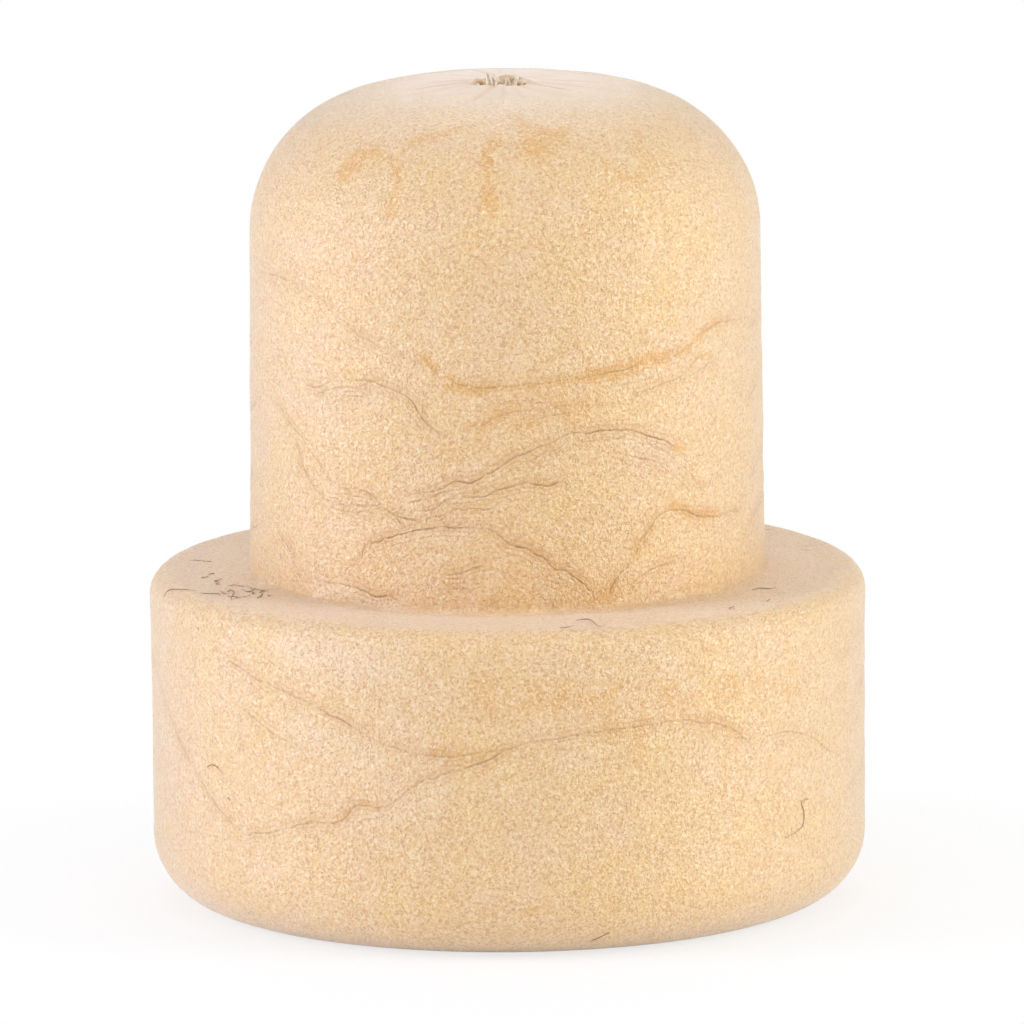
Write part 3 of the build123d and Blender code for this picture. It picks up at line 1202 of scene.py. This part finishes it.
# %% Joining small pieces, and the torn material
def join_pieces(name, parts, material):
    """One mesh object from several lists of points and faces."""
    all_points, all_faces = [], []
    for part_points, part_faces in parts:
        first = len(all_points)
        all_points += [tuple(c * MM for c in point) for point in part_points]
        all_faces += [tuple(int(first + k) for k in face) for face in part_faces]
    mesh = bpy.data.meshes.new(name)
    mesh.from_pydata(all_points, [], all_faces)
    mesh.polygons.foreach_set("use_smooth", [True] * len(all_faces))
    mesh.materials.append(material)
    piece = in_scene(name, mesh)
    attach(piece, "root")
    print(name, len(all_faces), "faces")
    return piece


def torn_material():
    board = Board(bpy.data.materials.new("torn_foam"))
    cells = board.grain(board.place_mm(), 12.0, 2.0, 0.6)
    sockets = {
        "Base Color": board.blend(board.ease(cells, 0.4, 0.65), TORN, TORN_DEEP),
        "Roughness": 0.55 + (cells - 0.5) * 0.3,
        "Normal": board.bump(cells * TORN_RISE),
        "Subsurface Weight": 0.3,
        "Subsurface Radius": (0.6, 0.4, 0.25),
        "Subsurface Scale": 0.0003,
    }
    return board.plastic(sockets)


tears = join_pieces("gate_tears", [flag(*f) for f in FLAGS], torn_material())

# %% [markdown]
# ## Caught lint
#
# A suede-like skin catches fibres. The dark ones give the size away, so they are real threads of a
# few hundredths of a millimetre, not painted lines: most on the shoulder, a few on the wall. Each
# is a thin round tube along a smooth curve that touches the skin.

# %% Threads that are listed one by one
THREAD_R = 0.014
THREAD_SIDES = 6
THREAD_LIFT = 0.02
THREAD_STEPS = 9
THREAD_TIP = 0.45
THREAD_BROWN = srgb(122, 88, 62)
THREAD_TAN = srgb(186, 148, 108)
# on the shoulder: x and y in mm
SHOULDER_THREADS = [
    [
        (-10.9, -5.0), (-10.8, -4.6), (-10.65, -5.0), (-10.7, -5.8), (-10.75, -6.6), (-10.5, -6.3),
        (-10.0, -5.7),
    ],
    [(-13.4, -3.6), (-13.2, -3.5), (-12.8, -4.05), (-12.5, -4.4), (-12.1, -4.7)],
    [(9.5, -5.4), (9.8, -5.05), (10.15, -5.2), (10.45, -4.9)],
    [(2.0, -12.95), (2.25, -12.8), (2.55, -12.4)],
    [(2.65, -11.4), (3.0, -11.15), (3.2, -11.4), (3.35, -12.1), (3.55, -12.75), (3.75, -12.25)],
    [(6.8, 9.6), (7.3, 9.9), (7.6, 9.3), (8.2, 9.5)],
]
# on the wall: degrees from the front to the right, and height in mm
WALL_THREADS = [
    [(56, 5.2), (54.2, 5.15), (54.9, 4.7), (54.5, 4.2), (52.5, 4.0), (50, 3.9)],
    [(-57, 6.6), (-55.5, 6.75), (-54, 6.7), (-52.3, 6.5)],
    [(16.5, 1.0), (15, 0.8), (13.5, 0.6)],
    [(-51.2, 5.62), (-50.8, 5.5)],
    [(-59.2, 12.05), (-58.8, 11.9)],
    [(65, 1.8), (65.6, 1.75)],
    [(128, 8.4), (130, 8.9), (133, 8.7), (134, 8.1)],
    [(214, 4.3), (217, 4.7), (220, 4.4)],
]


# %% A round tube along a route that touches the skin
def on_shoulder(x, y):
    reach = max(0.0, math.hypot(x, y) - ledge_out)
    drop = SHOULDER_FILLET - math.sqrt(max(0.0, SHOULDER_FILLET**2 - reach**2))
    return Vector((x, y, shoulder_z - drop + THREAD_LIFT))


def on_wall(degrees, z):
    turn = math.radians(degrees)
    tuck = 0.0
    if z < FOOT_FILLET:
        tuck = FOOT_FILLET - math.sqrt(FOOT_FILLET**2 - (FOOT_FILLET - z) ** 2)
    r = foot_r(z) - tuck + THREAD_LIFT
    return Vector((r * math.sin(turn), -r * math.cos(turn), z))


def thread(knots):
    """A round tube through the knots, thinner at its ends, as points and faces."""
    ends = [knots[0] * 2 - knots[1], *knots, knots[-1] * 2 - knots[-2]]
    path = []
    for k in range(1, len(ends) - 2):
        before, here, there, after = ends[k - 1 : k + 3]
        for t in np.linspace(0, 1, THREAD_STEPS)[:-1]:
            square = (2 * before - 5 * here + 4 * there - after) * t**2
            cube = (3 * here - before - 3 * there + after) * t**3
            path.append((2 * here + (there - before) * t + square + cube) / 2)
    path.append(knots[-1])
    tube = []
    for k, spot in enumerate(path):
        along = (path[min(k + 1, len(path) - 1)] - path[max(k - 1, 0)]).normalized()
        side = along.cross(Vector((0.3, -0.5, 0.8))).normalized()
        other = along.cross(side)
        swelling = math.sin(math.pi * min(1, k / (len(path) - 1) + 0.15)) ** 0.5
        half = THREAD_R * (THREAD_TIP + (1 - THREAD_TIP) * swelling)
        for j in range(THREAD_SIDES):
            turn = 2 * math.pi * j / THREAD_SIDES
            tube.append(spot + side * half * math.cos(turn) + other * half * math.sin(turn))
    n = THREAD_SIDES
    made = [
        (k * n + j, k * n + (j + 1) % n, (k + 1) * n + (j + 1) % n, (k + 1) * n + j)
        for k in range(len(path) - 1)
        for j in range(n)
    ]
    made.append(tuple(reversed(range(n))))
    made.append(tuple(range((len(path) - 1) * n, len(path) * n)))
    return tube, made


def thread_material():
    board = Board(bpy.data.materials.new("lint_thread"))
    dye = board.grain(board.place_mm(), 3.0, 2.0)
    sockets = {
        "Base Color": board.blend(board.ease(dye, 0.42, 0.62), THREAD_BROWN, THREAD_TAN),
        "Roughness": 0.6 + (dye - 0.5) * 0.3,
    }
    return board.plastic(sockets)


# %% Seeded strays, and the finished lint
# about half of them lie near one bearing (its degrees and spread), and all between two radii
SHOULDER_STRAYS = 26
LEFT_LEDGE = (-62, 8)
ON_LEDGE = (10.7, 12.6)
STRAY_STEP = (0.12, 0.22)
lint_draw = random.Random(31)


def stray(x, y, reach, count):
    """Knots of a short fibre that curls as it goes."""
    turn = lint_draw.uniform(0, 2 * math.pi)
    knots = [(x, y)]
    for _ in range(count):
        turn += lint_draw.gauss(0, 0.9)
        x += reach * math.cos(turn)
        y += reach * math.sin(turn)
        knots.append((x, y))
    return knots


for _ in range(SHOULDER_STRAYS):
    degrees = lint_draw.choice([lint_draw.gauss(*LEFT_LEDGE), lint_draw.uniform(-180, 180)])
    turn = math.radians(degrees)
    out = lint_draw.uniform(*ON_LEDGE)
    spot = (out * math.sin(turn), -out * math.cos(turn))
    step = lint_draw.uniform(*STRAY_STEP)
    SHOULDER_THREADS.append(stray(*spot, step, lint_draw.randint(3, 7)))

caught = [thread([on_shoulder(*knot) for knot in knots]) for knots in SHOULDER_THREADS]
caught += [thread([on_wall(*knot) for knot in knots]) for knots in WALL_THREADS]
join_pieces("caught_lint", caught, thread_material())

# %% Finish
print("finished")
